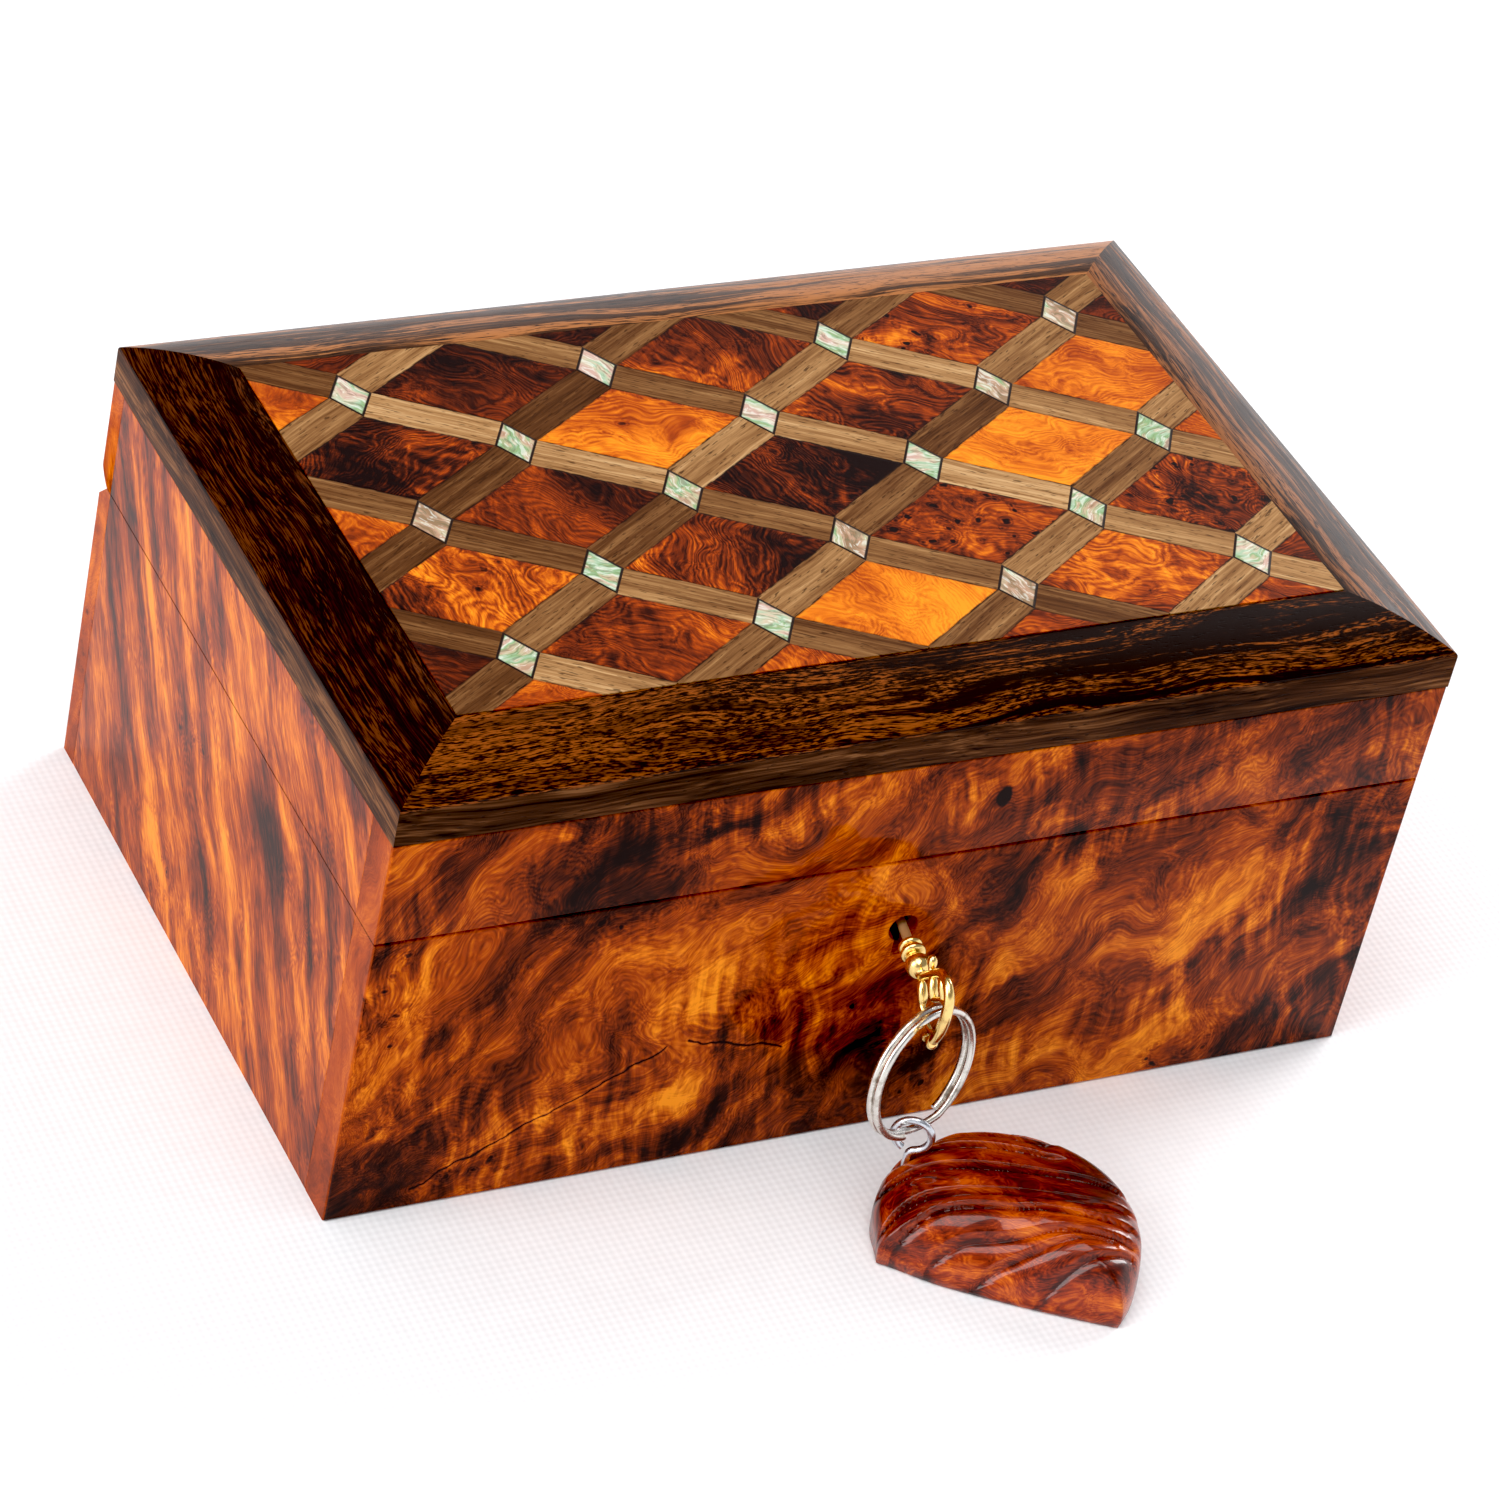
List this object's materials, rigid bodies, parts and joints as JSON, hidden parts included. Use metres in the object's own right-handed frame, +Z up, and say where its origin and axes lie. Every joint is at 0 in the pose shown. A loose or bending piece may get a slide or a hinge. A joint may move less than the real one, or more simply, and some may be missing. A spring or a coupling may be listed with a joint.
{
  "type": "inlaid wooden box",
  "caption": "Lacquered burl wood box with a hinged lid inlaid with shell rhombi and slanting strips, a framed top, a small lock, its key, a split ring and a carved fob.",
  "frame": {"origin": "centre of the box's base", "axes": "+Z up, +X along the front to the right, the front with the keyhole faces -Y"},
  "size_m": [0.2, 0.1871, 0.0938],
  "materials": {
    "thuya_front": "glossy lacquered thuya burl, orange-brown with dark swirls and eyes",
    "thuya_side": "glossy lacquered thuya, lighter, fine curved grain",
    "thuya_back": "glossy lacquered thuya",
    "frame_wood": "glossy near-black walnut with brown streaks",
    "burl_inlay": "glossy burl, each cell of its own tone",
    "walnut_strip": "glossy walnut with dark pores",
    "mother_of_pearl": "polished iridescent shell",
    "plain_wood": "satin plain wood",
    "hinge_brass": "satin brass",
    "lock_steel": "satin steel",
    "key_brass": "polished brass",
    "ring_nickel": "worn nickel plate",
    "eye_steel": "bright steel",
    "fob_burl": "glossy carved thuya burl"
  },
  "bodies": {
    "box": {"back_wall": "thuya_back", "body_hinge_leaf_left": "hinge_brass", "body_hinge_leaf_right": "hinge_brass", "body_hinge_screws": "hinge_brass", "bottom_panel": "plain_wood", "front_wall": "thuya_front", "hinge_pin_left": "hinge_brass", "hinge_pin_right": "hinge_brass", "left_wall": "thuya_side", "lock_cap": "lock_steel", "lock_case": "lock_steel", "lock_screws": "lock_steel", "lock_spring": "lock_steel", "right_wall": "thuya_side"},
    "lid": {"burl_back": "burl_inlay", "burl_front": "burl_inlay", "burl_row_1": "burl_inlay", "burl_row_2": "burl_inlay", "burl_row_3": "burl_inlay", "burl_row_4": "burl_inlay", "burl_row_5": "burl_inlay", "frame_back_rail": "frame_wood", "frame_front_rail": "frame_wood", "frame_left_rail": "frame_wood", "frame_right_rail": "frame_wood", "lid_back_wall": "thuya_back", "lid_core_board": "plain_wood", "lid_front_wall": "thuya_front", "lid_hinge_leaf_left": "hinge_brass", "lid_hinge_leaf_right": "hinge_brass", "lid_hinge_screws": "hinge_brass", "lid_left_wall": "thuya_side", "lid_right_wall": "thuya_side", "pearl_row_1": "mother_of_pearl", "pearl_row_2": "mother_of_pearl", "pearl_row_3": "mother_of_pearl", "pearl_row_4": "mother_of_pearl", "pearl_row_5": "mother_of_pearl", "strike_plate": "lock_steel", "strike_screws": "lock_steel", "strips_back": "walnut_strip", "strips_band_1": "walnut_strip", "strips_band_2": "walnut_strip", "strips_band_3": "walnut_strip", "strips_band_4": "walnut_strip", "strips_front": "walnut_strip"},
    "lock_bolt": {"lock_bolt": "lock_steel"},
    "key": {"key": "key_brass"},
    "split_ring": {"split_ring": "ring_nickel"},
    "fob": {"fob": "fob_burl", "screw_eye": "eye_steel"}
  },
  "joints": [
    {"name": "lid_hinge", "type": "hinge", "parent": "box", "child": "lid", "pos_m": [0, 0.0617, 0.061], "axis": [-1, 0, 0], "range_deg": [0, 100]},
    {"name": "key_turn", "type": "hinge", "parent": "box", "child": "key", "pos_m": [0.0003, -0.0645, 0.0456], "axis": [-0.1558, -0.9839, -0.0872], "range_deg": [0, 90]},
    {"name": "bolt_slide", "type": "slide", "parent": "box", "child": "lock_bolt", "axis": [1, 0, 0], "range_m": [0, 0.005]},
    {"name": "ring_swing", "type": "hinge", "parent": "key", "child": "split_ring", "pos_m": [-0.00236, -0.08133, 0.03954], "axis": [-0.1558, -0.9839, -0.0872], "range_deg": [-20, 30]},
    {"name": "fob_tilt", "type": "hinge", "parent": "split_ring", "child": "fob", "pos_m": [-0.00125, -0.08453, 0.01751], "axis": [-0.9373, -0.3486, 0], "range_deg": [-20, 25]}
  ],
  "couplings": [
    {"joint": "bolt_slide", "follows": "key_turn", "m_per_rad": 0.0031831}
  ]
}
